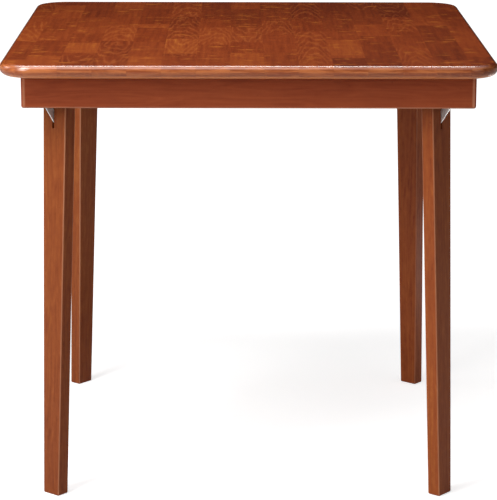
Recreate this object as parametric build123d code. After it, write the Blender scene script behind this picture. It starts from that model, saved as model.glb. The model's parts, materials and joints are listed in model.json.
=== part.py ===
from build123d import *
import os
from math import atan2, cos, degrees, hypot, radians, sin

# A folding card table: a laminated wooden top on four mitred rails, with four
# legs that swing in under the top, and a slotted steel brace for each leg.
# Units are millimetres. The floor is z = 0, and the origin is under the
# middle of the top. The front of the table faces -Y.

# Tabletop
top_side = 812.8
top_thickness = 22.2
top_corner_radius = 58.0
top_edge_radius = 9.7
top_under_radius = 12.3
table_height = 749.3

# Rails under the top
rail_height = 53.2
rail_thickness = 19.0
rail_setback = 35.8
rail_corner_radius = 4.0
rail_edge_radius = 3.6

# Where a leg stands, measured from the rails' inner corner
leg_yaw_deg = 40.0
corner_reach = 44.8
corner_side_offset = 2.8

# Legs
leg_width = 52.2
leg_foot_width = 35.4
leg_thickness = 24.0
leg_splay_deg = 2.1
leg_rise = 24.0
leg_edge_radius = 2.4
foot_edge_radius = 2.4

# Leg pivot
pivot_depth = 9.4
pivot_rise = 11.2
pivot_screw_radius = 3.5
pivot_screw_depth = 16.0
pivot_head_radius = 7.0
pivot_head_thickness = 2.6
washer_radius = 8.0
washer_thickness = 1.2

# Folding: the front left and back right legs go in first and lie past level,
# the other two stop short of level and lie under them
first_fold_past_deg = 2.1
second_fold_short_deg = 1.6

# Saw kerf in the leg's outer face
kerf_width = 4.5
kerf_depth = 14.0
kerf_drop = 42.5
kerf_side_offset = 2.0

# Slotted brace
brace_width = 12.0
brace_thickness = 2.0
brace_slant_deg = 35.0
brace_reach = 45.0
brace_slot_play = 1.3
brace_notch_depth = 1.6

# Pin in the leg that the brace turns on, and the plug over its bore
brace_pin_radius = 2.5
brace_pin_depth = 6.5
brace_pin_drop = 29.0
brace_pin_seat = 9.0
pin_plug_length = 5.0

# Rivet that the brace slides on
rivet_radius = 2.0
rivet_head_radius = 3.4
rivet_head_thickness = 1.4

# Corner blocks
block_length = 130.0
block_thickness = 17.0
block_tip = 14.0

# Leg bracket
bracket_sheet = 2.0
bracket_length = 23.0
bracket_ear_drop = 9.5
bracket_corner_radius = 6.0

# Brace bracket
brace_bracket_sheet = 1.6
brace_bracket_length = 24.0
brace_bracket_width = 24.0
brace_ear_width = 13.0
brace_ear_drop = 6.0

# Wood screws that hold the brackets and the blocks
screw_radius = 1.8
screw_head_radius = 3.2
screw_head_thickness = 2.2
bracket_screw_length = 14.0
bracket_screw_inset = 4.6
brace_screw_spacing = 15.5
block_screw_length = 26.0
block_screw_counterbore = 4.0
block_screw_inset = 12.0

# Clearances
screw_clearance = 0.05
pin_clearance = 0.10
side_clearance = 0.15
rivet_clearance = 0.05
cut_overrun = 5.0

# Worked out from the sizes above
corner_count = 4
quarter_turn_deg = 90.0
corner_names = ("front_left", "front_right", "back_right", "back_left")
rail_names = ("front", "right", "back", "left")
half_top = top_side / 2
rail_face = half_top - rail_setback
rail_inner = rail_face - rail_thickness
top_under = table_height - top_thickness
rail_bottom = top_under - rail_height
block_under = rail_height - block_thickness
leg_taper_share = (leg_width - leg_foot_width) / rail_bottom


def leg_width_at(height):
    """Width of a leg at a height above the rails' bottom edge."""
    return leg_width + height * leg_taper_share


def on_leg(depth, height):
    """A point on the leg's own axes, leaned out by the splay, as (x, z)."""
    lean = radians(leg_splay_deg)
    return (-depth * cos(lean) - height * sin(lean), -depth * sin(lean) + height * cos(lean))


def fold_turn_deg(first):
    """How far a leg turns from standing to folded."""
    past = first_fold_past_deg if first else -second_fold_short_deg
    return quarter_turn_deg + leg_splay_deg + past


def turned(point, centre, angle_deg):
    """A point turned inwards and up about a centre."""
    a = radians(angle_deg)
    x, z = point[0] - centre[0], point[1] - centre[1]
    return (centre[0] + x * cos(a) + z * sin(a), centre[1] - x * sin(a) + z * cos(a))


pivot = on_leg(pivot_depth, pivot_rise)
brace_pin = on_leg(brace_pin_depth, -brace_pin_drop)
slant = radians(brace_slant_deg)
rivet = (brace_pin[0] + brace_reach * sin(slant), brace_pin[1] + brace_reach * cos(slant))


def folded_pin(first):
    """Where a leg's brace pin lies once that leg is folded."""
    return turned(brace_pin, pivot, fold_turn_deg(first))


folded_reach = max(hypot(rivet[0] - folded_pin(f)[0], rivet[1] - folded_pin(f)[1]) for f in (True, False))
ear_inner = leg_width_at(leg_rise) / 2 + washer_thickness + 2 * side_clearance
ear_outer = ear_inner + bracket_sheet


def corner_location(index):
    """Corner axes: x out through the leg's outer face, y along its width, z up from the rails' edge."""
    yaw = radians(leg_yaw_deg)
    out = Vector(-sin(yaw), -cos(yaw), 0)
    side = Vector(cos(yaw), -sin(yaw), 0)
    corner = Vector(-rail_inner, -rail_inner, rail_bottom)
    origin = corner - out * corner_reach + side * corner_side_offset
    return Rot(Z=quarter_turn_deg * index) * Plane(origin=origin, x_dir=out, z_dir=(0, 0, 1)).location


def across(radius, length, x, z, y_middle=0):
    """A round bar along y, centred on a point of the leg's swing plane."""
    return Pos(x, y_middle, z) * Rot(X=quarter_turn_deg) * Cylinder(radius, length)


def sheet(face, thickness, y_middle):
    """A flat plate cut from a face drawn in the leg's swing plane."""
    return Pos(0, y_middle, 0) * extrude(Plane.XZ * face, amount=thickness / 2, both=True)


def make_tabletop():
    """One board with rounded plan corners and a bullnose all round."""
    board = extrude(RectangleRounded(top_side, top_side, top_corner_radius), amount=top_thickness)
    board = Pos(0, 0, top_under) * board
    board = fillet(board.edges().group_by(Axis.Z)[-1], top_edge_radius)
    board = fillet(board.edges().group_by(Axis.Z)[0], top_under_radius)
    for index in range(corner_count):
        for place in block_screw_places(index):
            hole = Cylinder(screw_radius + screw_clearance, 2 * block_screw_reach())
            board -= Pos(place.X, place.Y, top_under) * hole
    return board


def make_rail():
    """The front rail, mitred at both ends, its outer edges eased."""
    front = [(-rail_face, -rail_face), (rail_face, -rail_face)]
    back = [(rail_inner, -rail_inner), (-rail_inner, -rail_inner)]
    plan = make_face(Polyline(*front, *back, close=True))
    rail = Pos(0, 0, rail_bottom) * extrude(plan, amount=rail_height)
    for side in (-1, 1):
        rail -= upright_edge_waste(side)
    low = [e for e in rail.edges() if e.bounding_box().max.Z < rail_bottom + side_clearance]
    outer = [e for e in low if e.center().Y < -rail_face + rail_corner_radius / 2]
    return fillet(outer, rail_edge_radius)


def upright_edge_waste(side):
    """What the rounded upright edge takes off one end of the front rail."""
    r = rail_corner_radius
    middle = rail_face - r
    height = rail_bottom + rail_height / 2
    waste = Pos(side * (middle + r), -middle - r, height) * Box(2 * r, 2 * r, rail_height)
    return waste - Pos(side * middle, -middle, height) * Cylinder(r, rail_height)


def block_screw_reach():
    """How far a block screw goes into the top."""
    return block_screw_length - (block_thickness - block_screw_counterbore)


def block_screw_places(index):
    """The two block screws of a corner, near the block's tips."""
    near = block_screw_inset
    far = block_length - 2 * block_screw_inset
    turn = Rot(Z=quarter_turn_deg * index)
    places = [(near, far), (far, near)]
    return [(turn * Pos(-rail_inner + x, -rail_inner + y, 0)).position for x, y in places]


def make_corner_block(index):
    """A triangular block glued under the top into a corner of the rails."""
    long_side = [(block_length, 0), (block_length, block_tip), (block_tip, block_length), (0, block_length)]
    face = make_face(Polyline((0, 0), *long_side, close=True))
    block = Pos(-rail_inner, -rail_inner, rail_bottom + block_under) * extrude(face, amount=block_thickness)
    block = Rot(Z=quarter_turn_deg * index) * block
    for place in block_screw_places(index):
        under = rail_bottom + block_under
        hole = Cylinder(screw_radius + screw_clearance, 2 * block_thickness)
        head = Cylinder(screw_head_radius + side_clearance, 2 * block_screw_counterbore)
        block -= Pos(place.X, place.Y, under + block_thickness) * hole
        block -= Pos(place.X, place.Y, under) * head
    for x, y in bracket_screw_places() + brace_screw_places():
        pilot = Cylinder(screw_radius + screw_clearance, 2 * bracket_screw_length)
        block -= corner_location(index) * Pos(x, y, block_under) * pilot
    return block


def make_leg():
    """A tapered leg on the corner axes, leaned out, cut flat at the floor, with its kerf and bores."""
    foot = rail_bottom + leg_thickness
    high, low = leg_width_at(leg_rise) / 2, leg_width_at(-foot) / 2
    outline = [(-high, leg_rise), (high, leg_rise), (low, -foot), (-low, -foot)]
    leg = extrude(Plane.YZ * make_face(Polyline(*outline, close=True)), amount=leg_thickness)
    leg = Rot(Y=-leg_splay_deg) * Pos(-leg_thickness, 0, 0) * leg
    leg -= Pos(0, 0, -rail_bottom - foot / 2) * Box(top_side / 2, top_side / 2, foot)
    long_edges = [e for e in leg.edges() if e.length > rail_bottom / 2]
    leg = fillet(long_edges, leg_edge_radius)
    sole = leg.faces().sort_by(Axis.Z)[0]
    leg = fillet(sole.edges(), foot_edge_radius)
    return leg - leg_cuts()


def leg_cuts():
    """The kerf and the three bores of a leg."""
    tall = kerf_drop + leg_rise + cut_overrun
    kerf = Box(kerf_depth + cut_overrun, kerf_width, tall)
    middle_x = (cut_overrun - kerf_depth) / 2
    kerf = Pos(middle_x, -kerf_side_offset, tall / 2 - kerf_drop) * kerf
    cuts = Rot(Y=-leg_splay_deg) * kerf
    for side in (-1, 1):
        cheek = side * leg_width_at(pivot_rise) / 2
        bore = 2 * (pivot_screw_depth + screw_clearance)
        cuts += across(pivot_screw_radius + screw_clearance, bore, *pivot, cheek)
    bore_radius = brace_pin_radius + screw_clearance
    return cuts + across(bore_radius, pin_bore_length(), *brace_pin, pin_bore_middle())


def pin_inner_end():
    """The blind end of the brace pin's bore."""
    return -kerf_side_offset + kerf_width / 2 + brace_pin_seat


def pin_bore_length():
    """The brace pin's bore, from its blind end out through the leg's narrow face."""
    return leg_width / 2 + cut_overrun + pin_inner_end()


def pin_bore_middle():
    """The middle of the brace pin's bore."""
    return pin_inner_end() - pin_bore_length() / 2


def make_brace_pin():
    """The pin in the leg that the brace turns on."""
    start = pin_plug_inner()
    length = pin_inner_end() - start
    return across(brace_pin_radius, length, *brace_pin, start + length / 2)


def pin_plug_inner():
    """Where the plug ends and the brace pin begins."""
    return -leg_width_at(-brace_pin_drop) / 2 + pin_plug_length


def make_pin_plug():
    """The wood plug, cut flush with the leg's narrow face."""
    plug_middle = pin_plug_inner() - pin_plug_length
    plug = across(brace_pin_radius, 2 * pin_plug_length, *brace_pin, plug_middle)
    high, low = leg_width_at(leg_rise) / 2, leg_width_at(-rail_bottom) / 2
    outline = [(-high, leg_rise), (high, leg_rise), (low, -rail_bottom), (-low, -rail_bottom)]
    body = extrude(Plane.YZ * make_face(Polyline(*outline, close=True)), amount=leg_thickness)
    return plug & (Rot(Y=-leg_splay_deg) * Pos(-leg_thickness, 0, 0) * body)


def make_brace():
    """A flat bar, round at both ends, with a pin hole, a sliding slot and a lock notch."""
    half = brace_width / 2
    long_slot = folded_reach - brace_reach
    slot_half = rivet_radius + brace_slot_play
    bar = Pos(folded_reach / 2, 0) * SlotCenterToCenter(folded_reach, 2 * half)
    bar -= Circle(brace_pin_radius + pin_clearance)
    bar -= Pos(brace_reach + long_slot / 2, 0) * SlotCenterToCenter(long_slot, 2 * slot_half)
    bar -= Pos(brace_reach, brace_notch_depth) * Circle(rivet_radius + brace_slot_play / 2)
    face = Pos(*brace_pin) * Rot(Z=quarter_turn_deg - brace_slant_deg) * bar
    return sheet(face, brace_thickness, -kerf_side_offset)


def make_leg_bracket():
    """An inverted channel: a web under the corner block and an ear on each side of the leg."""
    left = pivot[0] - bracket_length / 2
    low = pivot[1] - bracket_ear_drop
    ear = Pos(pivot[0], (low + block_under) / 2) * Rectangle(bracket_length, block_under - low)
    ear = fillet(ear.vertices().group_by(Axis.Y)[0], bracket_corner_radius)
    ear -= Pos(*pivot) * Circle(pivot_screw_radius + pin_clearance)
    ears = [sheet(ear, bracket_sheet, side * (ear_inner + bracket_sheet / 2)) for side in (-1, 1)]
    web = Box(bracket_length, 2 * ear_inner, bracket_sheet)
    web = Pos(left + bracket_length / 2, 0, block_under - bracket_sheet / 2) * web
    for x, y in bracket_screw_places():
        web -= Pos(x, y, block_under) * Cylinder(screw_radius + screw_clearance, 2 * cut_overrun)
    return ears[0] + web + ears[1]


def bracket_screw_places():
    """The four screws through a leg bracket's web, on the corner axes."""
    reach = bracket_length / 2 - bracket_screw_inset
    spread = ear_inner - 2 * bracket_screw_inset
    return [(pivot[0] + a * reach, b * spread) for a in (-1, 1) for b in (-1, 1)]


def make_brace_bracket():
    """A plate under the corner block with two ears that hold the brace's rivet."""
    low = rivet[1] - brace_ear_drop
    ear = Pos(rivet[0], (low + block_under) / 2) * Rectangle(brace_ear_width, block_under - low)
    ear = fillet(ear.vertices().group_by(Axis.Y)[0], brace_ear_drop)
    ear -= Pos(*rivet) * Circle(rivet_radius + rivet_clearance)
    plate = Box(brace_bracket_length, brace_bracket_width, brace_bracket_sheet)
    plate = Pos(brace_plate_middle(), -kerf_side_offset, block_under - brace_bracket_sheet / 2) * plate
    for x, y in brace_screw_places():
        plate -= Pos(x, y, block_under) * Cylinder(screw_radius + screw_clearance, 2 * cut_overrun)
    for side in (-1, 1):
        plate += sheet(ear, brace_bracket_sheet, -kerf_side_offset + side * brace_ear_middle())
    return plate


def brace_plate_middle():
    """The middle of the brace bracket's plate, just outside the leg bracket's web."""
    return pivot[0] + bracket_length / 2 + 2 * side_clearance + brace_bracket_length / 2


def brace_ear_middle():
    """Half the distance between the middles of the brace bracket's ears."""
    return brace_thickness / 2 + 2 * side_clearance + brace_bracket_sheet / 2


def brace_screw_places():
    """The two screws through a brace bracket's plate, on the corner axes."""
    return [(brace_plate_middle(), -kerf_side_offset + side * brace_screw_spacing / 2) for side in (-1, 1)]


def make_brace_rivet():
    """The rivet that the brace slides on, with a head outside each ear."""
    half = brace_ear_middle() + brace_bracket_sheet / 2
    body = across(rivet_radius, 2 * half, *rivet, -kerf_side_offset)
    for side in (-1, 1):
        offset = -kerf_side_offset + side * (half + rivet_head_thickness / 2)
        body += across(rivet_head_radius, rivet_head_thickness, *rivet, offset)
    return body


def make_pivot_screws():
    """The two shoulder screws that a leg swings on."""
    screws = []
    for side in (-1, 1):
        outer = ear_outer + side_clearance
        inner = leg_width_at(pivot_rise) / 2 - pivot_screw_depth
        shank = across(pivot_screw_radius, outer - inner, *pivot, side * (outer + inner) / 2)
        middle = side * (outer + pivot_head_thickness / 2)
        head = across(pivot_head_radius, pivot_head_thickness, *pivot, middle)
        head = fillet(head.edges().sort_by(Axis.Y)[-1 if side > 0 else 0], pivot_head_thickness / 3)
        screws.append(shank + head)
    return screws


def make_pivot_washers():
    """The washer between each ear and the leg."""
    middle = ear_inner - side_clearance - washer_thickness / 2
    washers = []
    for side in (-1, 1):
        disc = across(washer_radius, washer_thickness, *pivot, side * middle)
        hole = across(pivot_screw_radius + pin_clearance, 2 * washer_thickness, *pivot, side * middle)
        washers.append(disc - hole)
    return washers


def wood_screw(length):
    """A wood screw with its head's seat at z = 0, pointing up."""
    head = Pos(0, 0, -screw_head_thickness / 2) * Cylinder(screw_head_radius, screw_head_thickness)
    head = fillet(head.edges().sort_by(Axis.Z)[0], screw_head_thickness / 3)
    return head + Pos(0, 0, length / 2) * Cylinder(screw_radius, length)


def make_bracket_screws():
    """The screws that hold both brackets of every corner."""
    screws = []
    for index in range(corner_count):
        place = corner_location(index)
        screw = wood_screw(bracket_screw_length)
        for x, y in bracket_screw_places():
            screws.append(place * Pos(x, y, block_under - bracket_sheet) * screw)
        for x, y in brace_screw_places():
            screws.append(place * Pos(x, y, block_under - brace_bracket_sheet) * screw)
    return screws


def make_block_screws():
    """The screws that draw the corner blocks up to the top."""
    seat = rail_bottom + block_under + block_screw_counterbore
    screws = []
    for index in range(corner_count):
        for place in block_screw_places(index):
            screws.append(Pos(place.X, place.Y, seat) * wood_screw(block_screw_length))
    return screws


def save(name, solids):
    """Write one node: a single solid, or a group of separate ones."""
    shape = solids if not isinstance(solids, list) else Compound(children=solids)
    shape.label = name
    export_step(shape, os.path.join("parts", name + ".step"))


def main():
    """Build every node and print the joint axes."""
    os.makedirs("parts", exist_ok=True)
    save("tabletop", make_tabletop())
    rail = make_rail()
    for index, name in enumerate(rail_names):
        save("rail_" + name, Rot(Z=quarter_turn_deg * index) * rail)
    corner_parts = {
        "leg": make_leg(),
        "leg_bracket": make_leg_bracket(),
        "brace": make_brace(),
        "brace_bracket": make_brace_bracket(),
        "brace_rivet": make_brace_rivet(),
        "brace_pin": make_brace_pin(),
        "pin_plug": make_pin_plug(),
    }
    for index, name in enumerate(corner_names):
        place = corner_location(index)
        save("corner_block_" + name, make_corner_block(index))
        for kind, solid in corner_parts.items():
            save(kind + "_" + name, place * solid)
        save("pivot_screws_" + name, [place * s for s in make_pivot_screws()])
        save("pivot_washers_" + name, [place * s for s in make_pivot_washers()])
    save("bracket_screws", make_bracket_screws())
    save("block_screws", make_block_screws())
    report_axes()


def side_axis(index):
    """The direction that a leg and its brace turn about."""
    yaw = radians(leg_yaw_deg)
    return (Rot(Z=quarter_turn_deg * index) * Pos(cos(yaw), -sin(yaw), 0)).position


def report_axes():
    """Print each leg's pivot and each brace's pin, and how the two turn together."""
    for index, name in enumerate(corner_names):
        place = corner_location(index)
        at_pivot = (place * Pos(pivot[0], 0, pivot[1])).position
        at_pin = (place * Pos(brace_pin[0], -kerf_side_offset, brace_pin[1])).position
        side = side_axis(index)
        first = index % 2 == 0
        pin = folded_pin(first)
        start = degrees(atan2(rivet[1] - brace_pin[1], rivet[0] - brace_pin[0]))
        end = degrees(atan2(rivet[1] - pin[1], rivet[0] - pin[0]))
        turn = fold_turn_deg(first)
        print(name, "pivot", at_pivot, "pin", at_pin, "axis", side, "fold", round(turn, 3),
              "ratio", round((start - end - turn) / turn, 5))


main()
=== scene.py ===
"""The looks of a folding card table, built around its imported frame.

Everything is in metres and in the frame's own axes: the origin is on the floor
under the middle of the top, Z is up and the front of the table faces -Y.
"""

import json
import logging
import math
from dataclasses import dataclass, replace
from enum import Enum
from typing import Any, Iterable, Optional, Sequence, Union

import bmesh
import bpy
from mathutils import Matrix, Vector


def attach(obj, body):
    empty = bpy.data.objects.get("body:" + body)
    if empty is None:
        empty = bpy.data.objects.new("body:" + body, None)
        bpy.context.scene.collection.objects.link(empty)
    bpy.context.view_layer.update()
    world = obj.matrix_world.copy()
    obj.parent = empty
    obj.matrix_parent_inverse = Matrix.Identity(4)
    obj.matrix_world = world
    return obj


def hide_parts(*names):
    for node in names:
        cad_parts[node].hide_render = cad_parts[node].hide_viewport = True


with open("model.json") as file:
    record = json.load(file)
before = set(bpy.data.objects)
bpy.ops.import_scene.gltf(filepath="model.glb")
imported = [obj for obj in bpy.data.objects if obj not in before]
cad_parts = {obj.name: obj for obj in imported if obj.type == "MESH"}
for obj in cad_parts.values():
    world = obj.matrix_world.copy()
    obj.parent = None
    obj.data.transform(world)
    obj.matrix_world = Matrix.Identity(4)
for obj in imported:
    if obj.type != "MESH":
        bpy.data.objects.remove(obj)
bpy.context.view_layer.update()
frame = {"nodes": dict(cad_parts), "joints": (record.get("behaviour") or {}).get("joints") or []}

CORNERS = ("front_left", "front_right", "back_right", "back_left")
MM = 0.001
TINY = 0.01 * MM
TOP_HEIGHT = 749.3 * MM
LEG_SPLAY = math.radians(2.1)
RING_HEIGHT = 0.5
WHITE = (1.0, 1.0, 1.0)
EVEN = (1.0, 1.0, 1.0)
TURNED_LINES = 900.0

log = logging.getLogger("card_table")

Socket = bpy.types.NodeSocket
Value = Union[float, Sequence[float], bpy.types.NodeSocket]
Colour = tuple[float, float, float]
Stops = Sequence[tuple[float, Colour]]
Band = tuple[float, float]


class Grain(Enum):
    """The way a board's fibres run."""

    ALONG_X = (1.0, 0.0, 0.0)
    ALONG_Y = (0.0, 1.0, 0.0)
    ALONG_Z = (0.0, 0.0, 1.0)


class Tone(Enum):
    """The tone of a stave's block, as its place on the top's colour ramp."""

    DEEP = 0.20
    DARK = 0.32
    RED = 0.48
    WARM = 0.60
    AMBER = 0.72


def rgba(colour: Colour) -> tuple[float, float, float, float]:
    """A colour with full opacity."""
    return (*colour, 1.0)


class Nodes:
    """A node tree, with short calls that add and join its nodes."""

    def __init__(self, tree: bpy.types.NodeTree) -> None:
        """Keep the tree.

        Args:
            tree: The node tree of a material or a world.
        """
        self.tree = tree

    def feed(self, socket: Socket, value: Value) -> None:
        """Join a socket to another one, or set its constant.

        Args:
            socket: The input.
            value: The output that it reads, or its constant.
        """
        if isinstance(value, bpy.types.NodeSocket):
            self.tree.links.new(value, socket)
        else:
            socket.default_value = value

    def add(self, kind: str, inputs: dict[Any, Value], **settings: Any) -> bpy.types.Node:
        """Add a node.

        Args:
            kind: The node's type.
            inputs: Values or sockets for its inputs, by name or index.
            **settings: Properties of the node.

        Returns:
            The new node.
        """
        node = self.tree.nodes.new(kind)
        for key, value in settings.items():
            setattr(node, key, value)
        for key, value in inputs.items():
            self.feed(node.inputs[key], value)
        return node

    def math(self, operation: str, a: Value, b: Value = 0.0, c: Value = 0.0) -> Socket:
        """Add a math node and return its result."""
        node = self.add("ShaderNodeMath", {0: a, 1: b, 2: c}, operation=operation)
        return node.outputs[0]

    def scaled(self, vector: Value, factors: Sequence[float]) -> Socket:
        """Multiply a vector by three factors."""
        node = self.add("ShaderNodeVectorMath", {0: vector, 1: tuple(factors)}, operation="MULTIPLY")
        return node.outputs[0]

    def shifted(self, vector: Value, by: Value) -> Socket:
        """Add two vectors."""
        return self.add("ShaderNodeVectorMath", {0: vector, 1: by}, operation="ADD").outputs[0]

    def parts(self, vector: Value) -> tuple[Socket, Socket, Socket]:
        """Split a vector into its three numbers."""
        out = self.add("ShaderNodeSeparateXYZ", {0: vector}).outputs
        return out[0], out[1], out[2]

    def blend(self, share: Value, a: Value, b: Value, way: str = "MIX") -> Socket:
        """Mix two colours.

        Args:
            share: The share of the second colour, from 0 to 1.
            a: The first colour.
            b: The second colour.
            way: The kind of mix.

        Returns:
            The mixed colour.
        """
        inputs = {0: share, 6: a, 7: b}
        node = self.add("ShaderNodeMix", inputs, data_type="RGBA", blend_type=way, clamp_factor=True)
        return node.outputs[2]

    def ramp(self, value: Value, stops: Stops) -> Socket:
        """Turn a value into a colour.

        Args:
            value: The socket that the ramp reads.
            stops: Places from 0 to 1, each with its colour.

        Returns:
            The colour.
        """
        node = self.add("ShaderNodeValToRGB", {0: value})
        band = node.color_ramp
        while len(band.elements) < len(stops):
            band.elements.new(0.5)
        for element, (place, colour) in zip(band.elements, stops):
            element.position = place
            element.color = rgba(colour)
        return node.outputs[0]

    def window(self, value: Value, low: float, high: float) -> Socket:
        """Map a value so that low gives 0 and high gives 1, with a soft start and end.

        Args:
            value: The value.
            low: The value that gives 0.
            high: The value that gives 1, which may be below low.

        Returns:
            The mapped value.
        """
        inputs = {"Value": value, "From Min": low, "From Max": high}
        node = self.add("ShaderNodeMapRange", inputs, interpolation_type="SMOOTHSTEP")
        return node.outputs[0]

    def noise(self, vector: Value, scale: float, detail: float = 2.0, rough: float = 0.5) -> Socket:
        """Add a noise texture and return its value."""
        inputs = {"Vector": vector, "Scale": scale, "Detail": detail, "Roughness": rough}
        return self.add("ShaderNodeTexNoise", inputs).outputs[0]

    def centred(self, value: Value, depth: float, middle: float = 0.5) -> Socket:
        """Scale a value by a depth, with its middle brought to 0."""
        return self.math("MULTIPLY_ADD", value, depth, -middle * depth)

    def bumped(self, height: Value, depth: float, strength: float = 1.0) -> Socket:
        """Turn a height into a normal.

        Args:
            height: The height, from 0 to 1.
            depth: What a height of 1 stands for, in metres.
            strength: The share of the bump that shows.

        Returns:
            The normal.
        """
        inputs = {"Height": height, "Distance": depth, "Strength": strength}
        return self.add("ShaderNodeBump", inputs).outputs[0]


class Graph(Nodes):
    """The node tree of one material."""

    def __init__(self, name: str) -> None:
        """Make a material and keep its shader.

        Args:
            name: The material's name.
        """
        self.material = bpy.data.materials.new(name)
        self.material.use_nodes = True
        super().__init__(self.material.node_tree)
        self.shader = self.tree.nodes["Principled BSDF"]
        self.point = self.add("ShaderNodeTexCoord", {}).outputs["Object"]

    def set(self, **values: Value) -> None:
        """Set the shader's inputs, named with underscores for spaces."""
        for key, value in values.items():
            self.feed(self.shader.inputs[key.replace("_", " ")], value)


@dataclass(frozen=True)
class Pattern:
    """One noise of a finish: how fine it is, how it is drawn out and how rough."""

    scale: float
    stretch: tuple[float, float, float] = EVEN
    detail: float = 2.0
    rough: float = 0.5

    def lay(self, g: Graph, here: Value) -> Socket:
        """Lay the noise at a point and return its value."""
        return g.noise(g.scaled(here, self.stretch), self.scale, self.detail, self.rough)


@dataclass(frozen=True)
class Fibre:
    """One noise of a wood: its width across the grain and the factor that draws it out along it."""

    width: float
    draw: float
    detail: float = 2.0
    rough: float = 0.5

    def lay(self, g: Graph, here: Value, grain: Grain) -> Socket:
        """Lay the noise along a grain and return its value."""
        stretch = tuple(self.draw if along else 1.0 for along in grain.value)
        return Pattern(1.0 / self.width, stretch, self.detail, self.rough).lay(g, here)


@dataclass(frozen=True)
class Fleck:
    """A colour that shows where a value passes through a band."""

    band: Band
    depth: float
    colour: Colour

    def lay(self, g: Graph, value: Value, under: Value, where: Optional[Socket] = None) -> Socket:
        """Lay the colour over another one.

        Args:
            g: The material.
            value: The value that the band is read in.
            under: The colour underneath.
            where: The share of the fleck that is allowed, from 0 to 1, or None for all of it.

        Returns:
            The colour with the fleck in it.
        """
        share = g.math("MULTIPLY", g.window(value, *self.band), self.depth)
        if where is not None:
            share = g.math("MULTIPLY", share, where)
        return g.blend(share, under, rgba(self.colour))


@dataclass(frozen=True)
class Lacquer:
    """The clear finish over stained wood."""

    roughness: float = 0.30
    roughness_drift: float = 0.08
    specular: float = 0.34
    coat: float = 0.12
    coat_roughness: float = 0.16

    def dress(self, graph: Graph, drift: Value) -> None:
        """Set the shader's gloss.

        Args:
            graph: The material.
            drift: A slow noise that the roughness follows.
        """
        spread = graph.math("MULTIPLY_ADD", drift, self.roughness_drift, self.roughness)
        graph.set(Roughness=spread, Coat_Weight=self.coat, Coat_Roughness=self.coat_roughness)
        graph.set(Specular_IOR_Level=self.specular)


@dataclass(frozen=True)
class StainedWood:
    """Plain-sawn stained wood, with streaks, figure, a mottle, pores and small dark specks."""

    name: str
    grain: Grain
    stops: Stops
    lacquer: Lacquer = Lacquer()
    streaks: Fibre = Fibre(5.0 * MM, 0.035, 3.0, 0.55)
    streak_depth: float = 0.55
    figure: Fibre = Fibre(26.0 * MM, 0.10, rough=0.45)
    figure_depth: float = 0.30
    figure_rings: float = 9.0
    broad: Fibre = Fibre(26.0 / 0.35 * MM, 0.10)
    broad_depth: float = 0.75
    mottle: Fibre = Fibre(6.0 * MM, 0.45, 4.0, 0.65)
    mottle_depth: float = 0.25
    specks: Fibre = Fibre(5.0 * MM, 0.5, 3.0, 0.6)
    speck: Fleck = Fleck((0.66, 0.76), 0.35, (0.10, 0.018, 0.006))
    pores: Fibre = Fibre(0.7 * MM, 0.04, rough=0.6)
    pore: Fleck = Fleck((0.56, 0.70), 0.16, (0.14, 0.03, 0.01))
    pore_bump: float = 0.05 * MM
    bump_strength: float = 0.25
    tone_offset: float = -0.22
    highlight_colour: Colour = (0.60, 0.270, 0.150)
    highlight_depth: float = 0.8
    least_highlight: float = 0.1
    seed: float = 0.0
    seed_steps: tuple[float, float, float] = (1.0, 1.7, 0.6)

    def space(self, g: Graph) -> Socket:
        """The axes that the grain is laid in."""
        return g.point

    def painted_highlight(self, g: Graph, space: Socket) -> Value:
        """Where a painted highlight lightens the colour, from 0 to 1; none on plain wood."""
        return 0.0

    def build(self) -> bpy.types.Material:
        """Make the material.

        Returns:
            The material.
        """
        g = Graph(self.name)
        space = self.space(g)
        here = g.shifted(space, tuple(self.seed * step for step in self.seed_steps))
        noises = (self.streaks, self.broad, self.figure, self.mottle, self.pores, self.specks)
        streaks, broad, contour, mottle, pores, specks = (n.lay(g, here, self.grain) for n in noises)
        rings = g.math("PINGPONG", g.math("MULTIPLY", contour, self.figure_rings), RING_HEIGHT)
        tone = g.math("MULTIPLY", broad, self.broad_depth)
        tone = g.math("MULTIPLY_ADD", streaks, self.streak_depth, tone)
        tone = g.math("ADD", tone, g.math("MULTIPLY", rings, self.figure_depth))
        tone = g.math("ADD", tone, g.centred(mottle, self.mottle_depth))
        colour = g.ramp(g.math("ADD", tone, self.tone_offset), self.stops)
        colour = self.speck.lay(g, specks, colour)
        colour = self.pore.lay(g, pores, colour)
        # Painted highlight: a lighter colour laid along the edges that the subclass marks, stronger where
        # the broad noise is high.
        depth = g.math("MULTIPLY_ADD", broad, self.highlight_depth, self.least_highlight)
        highlight_share = g.math("MULTIPLY", self.painted_highlight(g, space), depth)
        g.set(Base_Color=g.blend(highlight_share, colour, rgba(self.highlight_colour)))
        self.lacquer.dress(g, broad)
        g.set(Normal=g.bumped(pores, self.pore_bump, self.bump_strength))
        return g.material


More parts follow.
